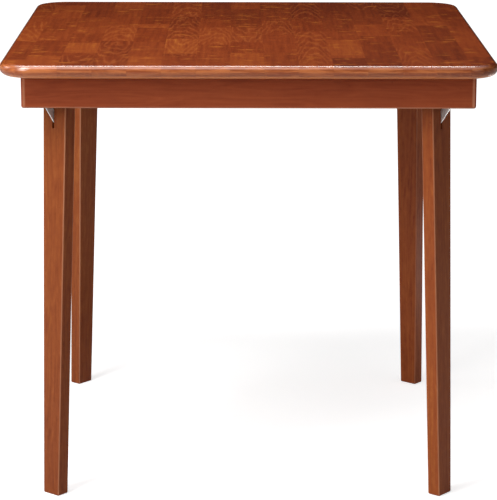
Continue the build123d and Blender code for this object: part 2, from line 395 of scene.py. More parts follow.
@dataclass(frozen=True)
class RailWood(StainedWood):
    """A rail's wood, with a painted highlight along its eased outer edges."""

    face: float = 370.6 * MM
    bottom: float = 673.9 * MM
    corner_radius: float = 4.0 * MM
    edge_radius: float = 3.6 * MM
    edge_full: float = 0.35
    strip_in: Band = (2.0, 1.3)
    strip_out: Band = (0.5, 0.9)

    def inset(self, g: Graph, far: Socket, radii: Band) -> Socket:
        """A soft step between two places in from the face, each given in corner radii."""
        return g.window(far, *(self.face - radius * self.corner_radius for radius in radii))

    def painted_highlight(self, g: Graph, space: Socket) -> Value:
        """The painted highlight: along the eased bottom edge, and in strips by the rounded upright edges.

        Args:
            g: The material.
            space: The point, in the table's own axes.

        Returns:
            How strongly the highlight is painted, from 0 to 1.
        """
        x, y, z = g.parts(space)
        wide, deep = g.math("ABSOLUTE", x), g.math("ABSOLUTE", y)
        near, far = g.math("MAXIMUM", wide, deep), g.math("MINIMUM", wide, deep)
        # Painted highlight on the eased bottom edge of the outer face.
        full = self.edge_full * self.edge_radius
        outer = g.window(near, self.face - self.edge_radius, self.face - full)
        low = g.window(z, self.bottom + self.edge_radius, self.bottom + full)
        # Painted highlight: a strip just in from each rounded upright edge.
        steps = (self.inset(g, far, radii) for radii in (self.strip_in, self.strip_out))
        upright = g.math("MULTIPLY", *steps)
        return g.math("MAXIMUM", g.math("MULTIPLY", outer, low), upright)


@dataclass(frozen=True)
class LegWood(StainedWood):
    """A leg's wood, its grain along the leg and a highlight painted along its arrises."""

    origin: tuple[float, float, float] = (0.0, 0.0, 0.0)
    azimuth: float = 0.0
    splay: float = LEG_SPLAY
    thickness: float = 24.0 * MM
    half_width: float = 26.1 * MM
    taper: float = 0.012465
    arris: float = 2.4 * MM
    arris_start: float = 0.95
    arris_full: float = 0.45

    def space(self, g: Graph) -> Socket:
        """The leg's own axes: out through its outer face, along its width, and up the leg.

        Args:
            g: The material.

        Returns:
            The point in those axes.
        """
        turn = (0.0, -self.splay, self.azimuth)
        inputs = {"Vector": g.point, "Location": self.origin, "Rotation": turn}
        return g.add("ShaderNodeMapping", inputs, vector_type="TEXTURE").outputs[0]

    def painted_highlight(self, g: Graph, space: Socket) -> Value:
        """The painted highlight along the four long arrises.

        Args:
            g: The material.
            space: The point, in the leg's own axes.

        Returns:
            How strongly the highlight is painted, from 0 to 1.
        """
        x, y, z = g.parts(space)
        half = self.thickness / 2
        flat = g.math("SUBTRACT", g.math("ABSOLUTE", g.math("ADD", x, half)), half)
        edge = g.math("MULTIPLY_ADD", z, self.taper, self.half_width)
        cheek = g.math("SUBTRACT", g.math("ABSOLUTE", y), edge)
        # Painted highlight along each arris, where the flat and the cheek meet.
        start, end = -self.arris_start * self.arris, -self.arris_full * self.arris
        return g.math("MULTIPLY", g.window(flat, start, end), g.window(cheek, start, end))


@dataclass(frozen=True)
class Board:
    """One block of a stave whose tone stands out."""

    stave: int
    front: float
    back: float
    tone: Tone


@dataclass(frozen=True)
class StavedTop:
    """The laminated top: staves that run front to back, each a row of blocks glued end to end."""

    name: str = "staved_top"
    first_joint: float = -308.4 * MM
    stave_width: float = 55.6 * MM
    block_length: float = 210.0 * MM
    joint_width: float = 0.45 * MM
    joint_depth: float = 0.20
    stops: Stops = (
        (0.00, (0.122, 0.0180, 0.0043)),
        (0.30, (0.183, 0.0303, 0.0060)),
        (0.50, (0.231, 0.0411, 0.0082)),
        (0.70, (0.272, 0.0551, 0.0104)),
        (0.88, (0.329, 0.0798, 0.0130)),
        (1.00, (0.405, 0.1277, 0.0190)),
    )
    lacquer: Lacquer = Lacquer(
        roughness=0.26, roughness_drift=0.06, specular=0.44, coat=0.08, coat_roughness=0.20
    )
    rim_coat: float = 1.0
    coat_ior: float = 1.6
    coat_in: Band = (0.1 * MM, 1.0 * MM)
    coat_out: Band = (11.0 * MM, 6.0 * MM)
    height: float = TOP_HEIGHT
    under_rail: Band = (352.0 * MM, 370.0 * MM)
    stave_step: float = 13.7
    joint_scatter: float = 0.85
    least_tone: float = 0.30
    tone_spread: float = 0.42
    board_shift: float = 0.37
    drift_reach: float = 7.0
    streaks: Pattern = Pattern(165.0, (1.0, 0.040, 1.0), 3.0, 0.60)
    streak_depth: float = 0.84
    pores: Pattern = Pattern(900.0, (1.0, 0.022, 1.0), 2.0, 0.6)
    pore_bump: float = 0.02 * MM
    bump_strength: float = 0.10
    curl: Pattern = Pattern(70.0, (1.0, 0.45, 1.0), 4.0, 0.62)
    curl_depth: float = 0.40
    flecks: Pattern = Pattern(52.0, (0.5, 1.0, 1.0), 5.0, 0.64)
    broad: Pattern = Pattern(3.2)
    broad_depth: float = 0.30
    # Painted shade: the top darkens towards the right and the back, where less light falls.
    painted_falloff: float = 0.13
    falloff_right: Band = (-0.10, 0.34)
    falloff_back: Band = (-0.20, 0.36)
    red_depth: float = 0.35
    red_tint: Colour = (0.88, 0.70, 0.60)
    arch_drift: Pattern = Pattern(34.0, (1.0, 0.14, 1.0), 3.0, 0.55)
    arch_depth: float = 0.28
    arched_share: float = 0.27
    arches_per_metre: float = 15.0
    arch_bow: float = 8.0
    arch_wander: float = 4.0
    arch_line: Fleck = Fleck((0.34, 0.49), 0.28, (0.420, 0.120, 0.030))
    gold: Fleck = Fleck((0.56, 0.70), 0.62, (0.46, 0.135, 0.020))
    dark: Fleck = Fleck((0.42, 0.30), 0.45, (0.155, 0.026, 0.009))
    pore: Fleck = Fleck((0.58, 0.72), 0.22, (0.13, 0.022, 0.007))
    glue_colour: Colour = (0.09, 0.014, 0.005)
    # Painted light on the bullnose: its band, its share and its two lit colours.
    rim_light_band: Band = (0.8 * MM, 5.0 * MM)
    rim_light_depth: float = 0.68
    rim_streaks: Band = (0.36, 0.64)
    rim_light_colours: tuple[Colour, Colour] = ((0.340, 0.078, 0.020), (0.680, 0.215, 0.066))
    along_front: Pattern = Pattern(260.0, (0.07, 0.5, 1.0), 3.0, 0.6)
    along_side: Pattern = Pattern(260.0, (0.5, 0.07, 1.0), 3.0, 0.6)
    # Painted shade: a darker band across the middle of the bullnose.
    waist_in: Band = (9.5 * MM, 12.0 * MM)
    waist_out: Band = (18.5 * MM, 15.0 * MM)
    waist_shade: float = -0.32
    # Painted reflection: the floor's light shown as a lighter band along the bullnose's lower edge.
    floor_reflection: Fleck = Fleck((16.5 * MM, 19.5 * MM), 0.52, (0.820, 0.290, 0.090))
    boards: tuple[Board, ...] = (
        Board(0, -0.265, -0.150, Tone.AMBER),
        Board(1, -0.304, -0.128, Tone.DARK),
        Board(2, 0.036, 0.082, Tone.AMBER),
        Board(3, -0.272, -0.101, Tone.AMBER),
        Board(3, 0.040, 0.182, Tone.DARK),
        Board(4, 0.150, 0.380, Tone.DARK),
        Board(5, -0.404, -0.264, Tone.AMBER),
        Board(6, -0.300, -0.020, Tone.RED),
        Board(8, -0.404, -0.318, Tone.DEEP),
        Board(9, -0.060, 0.080, Tone.WARM),
        Board(10, 0.180, 0.404, Tone.DEEP),
        Board(11, -0.340, 0.070, Tone.DARK),
        Board(12, 0.060, 0.260, Tone.RED),
    )

    def inside(self, g: Graph, stave: Socket, y: Socket, board: Board) -> Socket:
        """Mark one block of a stave.

        Args:
            g: The material.
            stave: The number of the stave.
            y: The place along the stave, in metres.
            board: The block.

        Returns:
            1 within the block and 0 elsewhere.
        """
        row = g.math("COMPARE", stave, float(board.stave), 0.5)
        after = g.math("GREATER_THAN", y, board.front)
        before = g.math("LESS_THAN", y, board.back)
        return g.math("MULTIPLY", row, g.math("MULTIPLY", after, before))

    def build(self) -> bpy.types.Material:
        """Make the material.

        Returns:
            The material.
        """
        g = Graph(self.name)
        x, y, _ = g.parts(g.point)
        place = g.math("DIVIDE", g.math("SUBTRACT", x, self.first_joint), self.stave_width)
        stave = g.math("FLOOR", place)
        across = g.math("FRACT", place)
        run = g.math("MULTIPLY_ADD", stave, self.stave_step, g.math("DIVIDE", y, self.block_length))
        cells = {"W": run, "Scale": 1.0, "Randomness": self.joint_scatter}
        block = g.add("ShaderNodeTexVoronoi", cells, voronoi_dimensions="1D").outputs["Color"]
        seam = g.add("ShaderNodeTexVoronoi", cells, voronoi_dimensions="1D", feature="DISTANCE_TO_EDGE")
        chance, hue, drift = g.parts(block)
        tone = g.math("MULTIPLY_ADD", chance, self.tone_spread, self.least_tone)
        arched = g.math("LESS_THAN", drift, self.arched_share)
        butt = g.math("LESS_THAN", seam.outputs["Distance"], self.joint_width / self.block_length)
        for board in self.boards:
            mask = self.inside(g, stave, y, board)
            change = g.math("MULTIPLY", g.math("SUBTRACT", board.tone.value, tone), mask)
            tone = g.math("ADD", tone, change)
            butt = g.math("MULTIPLY", butt, g.math("SUBTRACT", 1.0, mask))
            drift = g.math("MULTIPLY_ADD", mask, self.board_shift, drift)
        reach = g.math("MULTIPLY", drift, self.drift_reach)
        offset = g.add("ShaderNodeCombineXYZ", {0: reach, 1: hue, 2: drift})
        here = g.shifted(g.point, offset.outputs[0])
        fine = self.pores.lay(g, here)
        flecks = self.flecks.lay(g, here)
        broad = self.broad.lay(g, g.point)
        rings = self.figure(g, across, y, hue, self.arch_drift.lay(g, here))
        tone = g.math("ADD", tone, g.centred(self.streaks.lay(g, here), self.streak_depth))
        arches = g.centred(rings, self.arch_depth, RING_HEIGHT / 2)
        tone = g.math("MULTIPLY_ADD", arches, arched, tone)
        tone = g.math("ADD", tone, g.centred(self.curl.lay(g, here), self.curl_depth))
        tone = g.math("ADD", tone, g.centred(broad, self.broad_depth))
        # Painted shade: the tone drops towards the right and the back, standing in for the light's
        # falloff.
        for value, band in ((x, self.falloff_right), (y, self.falloff_back)):
            tone = g.math("MULTIPLY_ADD", g.window(value, *band), -self.painted_falloff, tone)
        colour = g.ramp(tone, self.stops)
        colour = g.blend(g.math("MULTIPLY", hue, self.red_depth), colour, rgba(self.red_tint), "MULTIPLY")
        colour = self.arch_line.lay(g, rings, colour, arched)
        colour = self.gold.lay(g, flecks, colour)
        colour = self.dark.lay(g, flecks, colour)
        colour = self.pore.lay(g, fine, colour)
        colour = self.rim(g, here, colour)
        edge = g.math("MINIMUM", across, g.math("SUBTRACT", 1.0, across))
        glue = g.math("LESS_THAN", edge, 0.5 * self.joint_width / self.stave_width)
        joint = g.math("MULTIPLY", g.math("MAXIMUM", glue, butt), self.joint_depth)
        g.set(Base_Color=g.blend(joint, colour, rgba(self.glue_colour)))
        self.lacquer.dress(g, broad)
        g.set(Coat_Weight=self.polish(g), Coat_IOR=self.coat_ior)
        g.set(Normal=g.bumped(fine, self.pore_bump, self.bump_strength))
        return g.material

    def figure(self, g: Graph, across: Socket, y: Socket, hue: Socket, drift: Socket) -> Socket:
        """The nested arches of a plain-sawn block, which point to the front or to the back.

        Args:
            g: The material.
            across: The place across the stave, from 0 to 1.
            y: The place along the stave, in metres.
            hue: The block's own number, which picks the way that its arches point.
            drift: A noise that makes the arches wander.

        Returns:
            The rings, from 0 to the ring height.
        """
        off = g.math("SUBTRACT", across, 0.5)
        bow = g.math("MULTIPLY", g.math("MULTIPLY", off, off), self.arch_bow)
        way = g.math("MULTIPLY_ADD", g.math("GREATER_THAN", hue, 0.5), 2.0, -1.0)
        run = g.math("MULTIPLY_ADD", g.math("MULTIPLY", y, way), self.arches_per_metre, bow)
        return g.math("PINGPONG", g.math("MULTIPLY_ADD", drift, self.arch_wander, run), RING_HEIGHT)

    def polish(self, g: Graph) -> Socket:
        """The coat's weight: thin on the flat, and built up on the bullnose that hands polish.

        Args:
            g: The material.

        Returns:
            The weight, from 0 to 1.
        """
        drop = g.math("SUBTRACT", self.height, g.parts(g.point)[2])
        at_rim = g.math("MULTIPLY", g.window(drop, *self.coat_in), g.window(drop, *self.coat_out))
        return g.math("MULTIPLY_ADD", at_rim, self.rim_coat - self.lacquer.coat, self.lacquer.coat)

    def rim(self, g: Graph, here: Socket, colour: Socket) -> Socket:
        """Paint light onto the bullnose as a lighter colour, and streak it along the edge.

        The light colour ends above the rails, so the board's underside keeps the staves' own.

        Args:
            g: The material.
            here: The point within the block's own pattern.
            colour: The colour of the flat top.

        Returns:
            The colour with light, shade and a reflection painted on the bullnose.
        """
        x, y, z = g.parts(g.point)
        wide, deep = g.math("ABSOLUTE", x), g.math("ABSOLUTE", y)
        drop = g.math("SUBTRACT", self.height, z)
        facing = g.math("GREATER_THAN", deep, wide)
        front, side = self.along_front.lay(g, here), self.along_side.lay(g, here)
        drawn = g.math("ADD", g.math("MULTIPLY", facing, g.math("SUBTRACT", front, side)), side)
        # Painted light: the bullnose's lit face is drawn in a lighter, streaked colour.
        light = g.blend(g.window(drawn, *self.rim_streaks), *(rgba(c) for c in self.rim_light_colours))
        # Painted shade: less of the light colour across the bullnose's middle.
        waist = g.math("MULTIPLY", g.window(drop, *self.waist_in), g.window(drop, *self.waist_out))
        overhang = g.window(g.math("MAXIMUM", wide, deep), *self.under_rail)
        at_rim = g.math("MULTIPLY", g.window(drop, *self.rim_light_band), overhang)
        depth = g.math("MULTIPLY_ADD", waist, self.waist_shade, self.rim_light_depth)
        colour = g.blend(g.math("MULTIPLY", at_rim, depth), colour, light)
        # Painted reflection of the floor on the bullnose's lower edge.
        return self.floor_reflection.lay(g, drop, colour, overhang)


@dataclass(frozen=True)
class SawnWood:
    """Bare sawn softwood of the hidden blocks."""

    name: str = "sawn_block"
    stops: Stops = (
        (0.25, (0.36, 0.20, 0.095)),
        (0.55, (0.47, 0.285, 0.145)),
        (0.85, (0.55, 0.36, 0.20)),
    )
    rings: Pattern = Pattern(150.0, (1.0, 0.07, 1.0), 3.0, 0.5)
    saw: Pattern = Pattern(900.0, (0.05, 1.0, 1.0), 1.0, 0.5)
    ring_depth: float = 0.8
    saw_depth: float = 0.25
    saw_bump: float = 0.12 * MM
    bump_strength: float = 0.5
    roughness: float = 0.62
    roughness_drift: float = 0.2
    specular: float = 0.25
    turn: float = math.pi / 4

    def build(self) -> bpy.types.Material:
        """Make the material.

        Returns:
            The material.
        """
        g = Graph(self.name)
        turned = g.add("ShaderNodeMapping", {"Vector": g.point, "Rotation": (0.0, 0.0, self.turn)})
        here = turned.outputs[0]
        saw = self.saw.lay(g, here)
        rings = g.math("MULTIPLY", self.rings.lay(g, here), self.ring_depth)
        g.set(Base_Color=g.ramp(g.math("MULTIPLY_ADD", saw, self.saw_depth, rings), self.stops))
        spread = g.math("MULTIPLY_ADD", saw, self.roughness_drift, self.roughness)
        g.set(Roughness=spread, Specular_IOR_Level=self.specular)
        g.set(Normal=g.bumped(saw, self.saw_bump, self.bump_strength))
        return g.material


@dataclass(frozen=True)
class PlatedSteel:
    """Zinc-plated steel, with drawn lines, a faint bloom and small scuffs."""

    name: str
    colour: Colour
    roughness: float = 0.28
    line_axis: tuple[float, float, float] = (1.0, 1.0, 0.06)
    line_scale: float = 1400.0
    line_bump: float = 0.02 * MM
    bump_strength: float = 0.3
    metallic: float = 1.0
    dulling: float = 0.82
    warming: Colour = (1.0, 0.985, 0.93)
    bloom: Pattern = Pattern(90.0, detail=3.0, rough=0.55)
    bloom_places: tuple[float, float, float] = (0.30, 0.50, 0.72)
    scuffs: Pattern = Pattern(420.0, detail=4.0, rough=0.6)
    scuff: Fleck = Fleck((0.60, 0.72), 0.3, (0.30, 0.29, 0.28))
    line_spread: float = 0.16
    scuff_spread: float = 0.2

    def build(self) -> bpy.types.Material:
        """Make the material.

        Returns:
            The material.
        """
        g = Graph(self.name)
        lines = Pattern(self.line_scale, self.line_axis, rough=0.6).lay(g, g.point)
        dull = tuple(c * self.dulling for c in self.colour)
        warm = tuple(c * w for c, w in zip(self.colour, self.warming))
        stops = tuple(zip(self.bloom_places, (dull, self.colour, warm)))
        colour = g.ramp(self.bloom.lay(g, g.point), stops)
        scuffs = self.scuffs.lay(g, g.point)
        g.set(Base_Color=self.scuff.lay(g, scuffs, colour))
        spread = g.math("MULTIPLY_ADD", lines, self.line_spread, self.roughness - self.line_spread / 2)
        scuffed = g.math("MULTIPLY_ADD", g.window(scuffs, *self.scuff.band), self.scuff_spread, spread)
        g.set(Metallic=self.metallic, Roughness=scuffed)
        g.set(Normal=g.bumped(lines, self.line_bump, self.bump_strength))
        return g.material


@dataclass(frozen=True)
class Nylon:
    """Natural nylon of the pivot washers."""

    name: str = "natural_nylon"
    colour: Colour = (0.74, 0.72, 0.65)
    cloud: Pattern = Pattern(260.0, detail=3.0)
    cloud_places: Band = (0.35, 0.65)
    cloud_bump: float = 0.03 * MM
    bump_strength: float = 0.4
    staining: float = 0.86
    roughness: float = 0.38
    roughness_drift: float = 0.18
    depth_share: float = 0.15
    depth: float = 1.5 * MM

    def build(self) -> bpy.types.Material:
        """Make the material.

        Returns:
            The material.
        """
        g = Graph(self.name)
        cloud = self.cloud.lay(g, g.point)
        stain = tuple(c * self.staining for c in self.colour)
        g.set(Base_Color=g.ramp(cloud, tuple(zip(self.cloud_places, (stain, self.colour)))))
        g.set(Roughness=g.math("MULTIPLY_ADD", cloud, self.roughness_drift, self.roughness))
        g.set(Subsurface_Weight=self.depth_share, Subsurface_Scale=self.depth)
        g.set(Normal=g.bumped(cloud, self.cloud_bump, self.bump_strength))
        return g.material


RAIL_STOPS: Stops = (
    (0.15, (0.198, 0.0345, 0.0123)),
    (0.45, (0.294, 0.0575, 0.0195)),
    (0.70, (0.360, 0.0759, 0.0247)),
    (0.95, (0.432, 0.1035, 0.0338)),
)
LEG_STOPS: Stops = (
    (0.15, (0.164, 0.0320, 0.0097)),
    (0.42, (0.252, 0.0564, 0.0153)),
    (0.68, (0.305, 0.0761, 0.0194)),
    (0.95, (0.385, 0.1156, 0.0296)),
)


def lighter(stops: Stops, factor: float) -> Stops:
    """The same ramp with each colour lightened by a factor."""
    return tuple((place, tuple(c * factor for c in colour)) for place, colour in stops)


def dress(node: str, material: bpy.types.Material) -> None:
    """Give a CAD node its finish.

    Args:
        node: The node's name.
        material: The finish.
    """
    obj = frame["nodes"][node]
    obj.data.materials.clear()
    obj.data.materials.append(material)
    log.info("dressed %s with %s", node, material.name)


def stand_in(
    piece: bpy.types.Object, node: str, material: bpy.types.Material, body: str
) -> None:
    """Put a detailed piece in the place of a CAD node.

    Args:
        piece: The detailed piece.
        node: The node that it replaces.
        material: Its finish.
        body: The body that it moves with.
    """
    piece.data.materials.append(material)
    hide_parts(node)
    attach(piece, body)
    log.info("put %s in the place of %s, with %s", piece.name, node, material.name)


def fold_joint(corner: str) -> tuple[Vector, Vector]:
    """The place and the axis of a leg's fold."""
    joint = next(j for j in frame["joints"] if j["name"] == "leg_fold_" + corner)
    return Vector(joint["pos_m"]), Vector(joint["axis"]).normalized()


def islands(node: str) -> list[list[Vector]]:
    """The points of each separate solid of a CAD node.

    Args:
        node: The node's name.

    Returns:
        One list of points for each solid, in the order of the solids' middles.
    """
    bm = bmesh.new()
    bm.from_mesh(frame["nodes"][node].data)
    bmesh.ops.remove_doubles(bm, verts=bm.verts, dist=TINY)
    found, seen = [], set()
    for first in bm.verts:
        if first in seen:
            continue
        group, edge = set(), {first}
        while edge:
            group |= edge
            edge = {e.other_vert(v) for v in edge for e in v.link_edges} - group
        seen |= group
        found.append([v.co.copy() for v in bm.verts if v in group])
    bm.free()
    return sorted(found, key=lambda g: tuple(round(c, 5) for c in sum(g, Vector()) / len(g)))


def turned_shape(profile: Sequence[tuple[float, float]], steps: int) -> bmesh.types.BMesh:
    """Spin a profile of (radius, height) points about Z into a closed solid.

    Args:
        profile: The points, from one end on the axis to the other.
        steps: The number of steps in the turn.

    Returns:
        The new shape.
    """
    bm = bmesh.new()
    verts = [bm.verts.new((r, 0.0, z)) for r, z in profile]
    edges = [bm.edges.new(pair) for pair in zip(verts, verts[1:])]
    bmesh.ops.spin(
        bm, geom=verts + edges, cent=(0, 0, 0), axis=(0, 0, 1), angle=2 * math.pi, steps=steps,
        use_merge=True,
    )
    bmesh.ops.remove_doubles(bm, verts=bm.verts, dist=TINY / 2)
    bmesh.ops.recalc_face_normals(bm, faces=bm.faces)
    return bm


def as_mesh(bm: bmesh.types.BMesh, name: str) -> bpy.types.Mesh:
    """Turn a shape into a mesh and free it.

    Args:
        bm: The shape.
        name: The mesh's name.

    Returns:
        The mesh.
    """
    mesh = bpy.data.meshes.new(name)
    bm.to_mesh(mesh)
    bm.free()
    return mesh


def smooth(obj: bpy.types.Object, angle_deg: float = 35.0) -> None:
    """Shade an object smooth, with its edges over an angle kept sharp.

    Args:
        obj: The object.
        angle_deg: The angle between two faces from which their edge stays sharp.
    """
    bm = bmesh.new()
    bm.from_mesh(obj.data)
    limit = math.radians(angle_deg)
    for face in bm.faces:
        face.smooth = True
    for edge in bm.edges:
        edge.smooth = len(edge.link_faces) == 2 and edge.calc_face_angle(0.0) < limit
    bm.to_mesh(obj.data)
    bm.free()


def cut(mesh: bpy.types.Mesh, tool: bpy.types.Mesh) -> bpy.types.Mesh:
    """Take one mesh out of another.

    Args:
        mesh: The mesh that is cut.
        tool: The mesh that is taken out of it.

    Returns:
        The new mesh.
    """
    body = bpy.data.objects.new("cut_body", mesh)
    knife = bpy.data.objects.new("cut_tool", tool)
    for obj in (body, knife):
        bpy.context.scene.collection.objects.link(obj)
    change = body.modifiers.new("recess", "BOOLEAN")
    change.operation = "DIFFERENCE"
    change.solver = "EXACT"
    change.object = knife
    graph = bpy.context.evaluated_depsgraph_get()
    made = bpy.data.meshes.new_from_object(body.evaluated_get(graph))
    for obj in (body, knife):
        bpy.data.objects.remove(obj)
    return made


@dataclass(frozen=True)
class Screw:
    """A screw that points up from its crowned head, with a slot or a cross cut in the crown."""

    head_radius: float
    head_height: float
    shank_radius: float
    length: float
    recess_width: float
    recess_depth: float
    recess_reach: float
    slotted: bool = False
    crown_angles: tuple[float, ...] = (0.0, 0.35, 0.7, 1.0, 1.25, 1.45)
    crown_share: float = 0.55
    rim_start: float = 0.62
    rim_end: float = 0.94
    rim_ease: float = 0.97
    steps: int = 28

    def profile(self) -> list[tuple[float, float]]:
        """The half section, from the head's crown at z = 0 up to the tip.

        Returns:
            Points of (radius, height).
        """
        r, h = self.head_radius, self.head_height
        dome = h * self.crown_share
        crown = [(r * math.sin(a), dome * (1 - math.cos(a))) for a in self.crown_angles]
        rim = [(r, h * self.rim_start), (r, h * self.rim_end), (r * self.rim_ease, h)]
        shank = [(self.shank_radius, h), (self.shank_radius, self.length), (0.0, self.length)]
        return crown + rim + shank

    def bar(self, along: float, across: float) -> bpy.types.Mesh:
        """One bar of the tool that leaves the recess.

        Args:
            along: Its length along X.
            across: Its length along Y.

        Returns:
            The bar, with its middle at the crown.
        """
        bm = bmesh.new()
        size = Matrix.Diagonal((along, across, 2 * self.recess_depth, 1.0))
        bmesh.ops.create_cube(bm, size=1.0, matrix=size)
        return as_mesh(bm, "recess_bar")

    def build(self) -> bpy.types.Mesh:
        """Make one screw with its head's crown at the origin, and a slot or a cross in it.

        Returns:
            The screw.
        """
        body = as_mesh(turned_shape(self.profile(), self.steps), "screw_body")
        reach, width = 2 * self.recess_reach, self.recess_width
        slotted = cut(body, self.bar(reach, width))
        return slotted if self.slotted else cut(slotted, self.bar(width, reach))


def gather(name: str, mesh: bpy.types.Mesh, places: Iterable[Matrix]) -> bpy.types.Object:
    """Set copies of a mesh at places, as one object.

    Args:
        name: The new piece's name.
        mesh: The mesh that is repeated.
        places: One matrix for each copy.

    Returns:
        The new piece.
    """
    whole = bmesh.new()
    for place in places:
        one = mesh.copy()
        one.transform(place)
        whole.from_mesh(one)
        bpy.data.meshes.remove(one)
    obj = bpy.data.objects.new(name, as_mesh(whole, name))
    bpy.context.scene.collection.objects.link(obj)
    smooth(obj)
    return obj


@dataclass
class Tabletop:
    """The laminated top: a square board with rounded corners and a bullnose all round."""

    side: float = 812.8 * MM
    thickness: float = 22.2 * MM
    height: float = TOP_HEIGHT
    corner_radius: float = 58.0 * MM
    edge_radius: float = 9.7 * MM
    under_radius: float = 12.3 * MM
    corner_steps: int = 24
    edge_steps: int = 12
    support: float = 1.5 * MM
    finish: StavedTop = StavedTop()

    def board(self) -> bmesh.types.BMesh:
        """Shape the board.

        Returns:
            The board, its top face at the table's height.
        """
        bm = bmesh.new()
        bmesh.ops.create_grid(bm, x_segments=1, y_segments=1, size=self.side / 2)
        bmesh.ops.translate(bm, verts=bm.verts, vec=(0.0, 0.0, self.height - self.thickness))
        grown = bmesh.ops.extrude_face_region(bm, geom=bm.faces[:])
        lifted = [item for item in grown["geom"] if isinstance(item, bmesh.types.BMVert)]
        bmesh.ops.translate(bm, verts=lifted, vec=(0.0, 0.0, self.thickness))
        bmesh.ops.recalc_face_normals(bm, faces=bm.faces)
        upright = [e for e in bm.edges if abs(e.verts[0].co.z - e.verts[1].co.z) > self.thickness / 2]
        bmesh.ops.bevel(
            bm, geom=upright, offset=self.corner_radius, segments=self.corner_steps, profile=0.5,
            affect="EDGES", material=-1,
        )
        levels = ((self.height, self.edge_radius), (self.height - self.thickness, self.under_radius))
        for level, radius in levels:
            rim = [e for e in bm.edges if all(abs(v.co.z - level) < TINY for v in e.verts)]
            bmesh.ops.bevel(
                bm, geom=rim, offset=radius, segments=self.edge_steps, profile=0.5,
                affect="EDGES", material=-1,
            )
        flats = [f for f in bm.faces if abs(f.normal.z) > 0.999 and len(f.verts) > 4]
        for face in flats:
            bmesh.ops.inset_region(bm, faces=[face], thickness=self.support)
        return bm

    def build(self) -> None:
        """Build and dress the top."""
        wood = self.finish.build()
        dress("tabletop", wood)
        board = bpy.data.objects.new("tabletop_board", as_mesh(self.board(), "tabletop_board"))
        bpy.context.scene.collection.objects.link(board)
        smooth(board)
        stand_in(board, "tabletop", wood, "frame")


@dataclass
class Apron:
    """The four mitred rails."""

    lacquer: Lacquer = Lacquer(roughness=0.34, specular=0.14, coat=0.0)
    first_seed: float = 3.1
    seed_step: float = 1.9

    def build(self) -> None:
        """Dress the rails, each with its grain along its length."""
        runs = {
            "front": Grain.ALONG_X, "back": Grain.ALONG_X, "left": Grain.ALONG_Y, "right": Grain.ALONG_Y,
        }
        for index, (side, grain) in enumerate(runs.items()):
            seed = self.first_seed + self.seed_step * index
            wood = RailWood("rail_wood_" + side, grain, RAIL_STOPS, self.lacquer, seed=seed)
            dress("rail_" + side, wood.build())


@dataclass
class Legs:
    """The four legs, their braces and what they turn on."""

    lacquer: Lacquer = Lacquer(roughness=0.34, specular=0.12, coat=0.0)
    screw: Screw = Screw(
        head_radius=7.0 * MM, head_height=2.6 * MM, shank_radius=3.5 * MM, length=20.0 * MM,
        recess_width=1.5 * MM, recess_depth=1.3 * MM, recess_reach=9.0 * MM, slotted=True,
    )
    pivot_depth: float = 9.4 * MM
    pivot_rise: float = 11.2 * MM
    first_azimuth_deg: float = -130.0
    quarter_turn_deg: float = 90.0
    # Painted light: each leg's finish is lightened or darkened to match the light that falls on it.
    painted_leg_light: tuple[float, ...] = (0.94, 1.13, 1.28, 0.98)
    first_seed: float = 11.3
    seed_step: float = 2.7
    plug_seed: float = 31.0

    def build(self) -> None:
        """Dress the legs and build the detailed pivot screws."""
        steel = PlatedSteel("screw_zinc", (0.58, 0.58, 0.57), 0.26, EVEN, TURNED_LINES).build()
        brace = PlatedSteel("brace_zinc", (0.90, 0.90, 0.89), 0.30, metallic=0.55).build()
        nylon = Nylon().build()
        for index, corner in enumerate(CORNERS):
            dress("leg_" + corner, self.wood(index, corner).build())
            name, seed = "plug_wood_" + corner, self.plug_seed + index
            plug = StainedWood(name, Grain.ALONG_X, LEG_STOPS, self.lacquer, seed=seed)
            dress("pin_plug_" + corner, plug.build())
            dress("brace_" + corner, brace)
            dress("brace_pin_" + corner, steel)
            dress("pivot_washers_" + corner, nylon)
            self.pivot_screws(corner, steel)

    def wood(self, index: int, corner: str) -> LegWood:
        """The finish of one leg, laid in the leg's own axes.

        Args:
            index: The corner's place in the round of corners.
            corner: The corner's name.

        Returns:
            The finish.
        """
        pivot, _ = fold_joint(corner)
        azimuth = math.radians(self.first_azimuth_deg + self.quarter_turn_deg * index)
        out = Vector((math.cos(azimuth), math.sin(azimuth), 0.0))
        lean = Matrix.Rotation(-LEG_SPLAY, 3, "Y")
        off = lean @ Vector((-self.pivot_depth, 0.0, self.pivot_rise))
        origin = pivot - out * off.x - Vector((0.0, 0.0, off.z))
        # Painted light: this leg's colours are scaled for the light it gets.
        stops = lighter(LEG_STOPS, self.painted_leg_light[index])
        return LegWood(
            "leg_wood_" + corner, Grain.ALONG_Z, stops, self.lacquer,
            figure_depth=0.42, mottle_depth=0.60, speck=replace(StainedWood.speck, depth=0.50),
            seed=self.first_seed + self.seed_step * index, origin=tuple(origin), azimuth=azimuth,
        )

    def pivot_screws(self, corner: str, steel: bpy.types.Material) -> None:
        """Build a leg's two shoulder screws, each with a slotted head.

        Args:
            corner: The corner's name.
            steel: The screws' finish.
        """
        centre, axis = fold_joint(corner)
        mesh = self.screw.build()
        places = []
        for points in islands("pivot_screws_" + corner):
            along = [(p - centre).dot(axis) for p in points]
            out = max(along) if sum(along) > 0 else min(along)
            inward = -axis if out > 0 else axis
            turn = inward.to_track_quat("Z", "Y").to_matrix().to_4x4()
            places.append(Matrix.Translation(centre + axis * out) @ turn)
        node = "pivot_screws_" + corner
        stand_in(gather(node + "_heads", mesh, places), node, steel, "leg_" + corner)


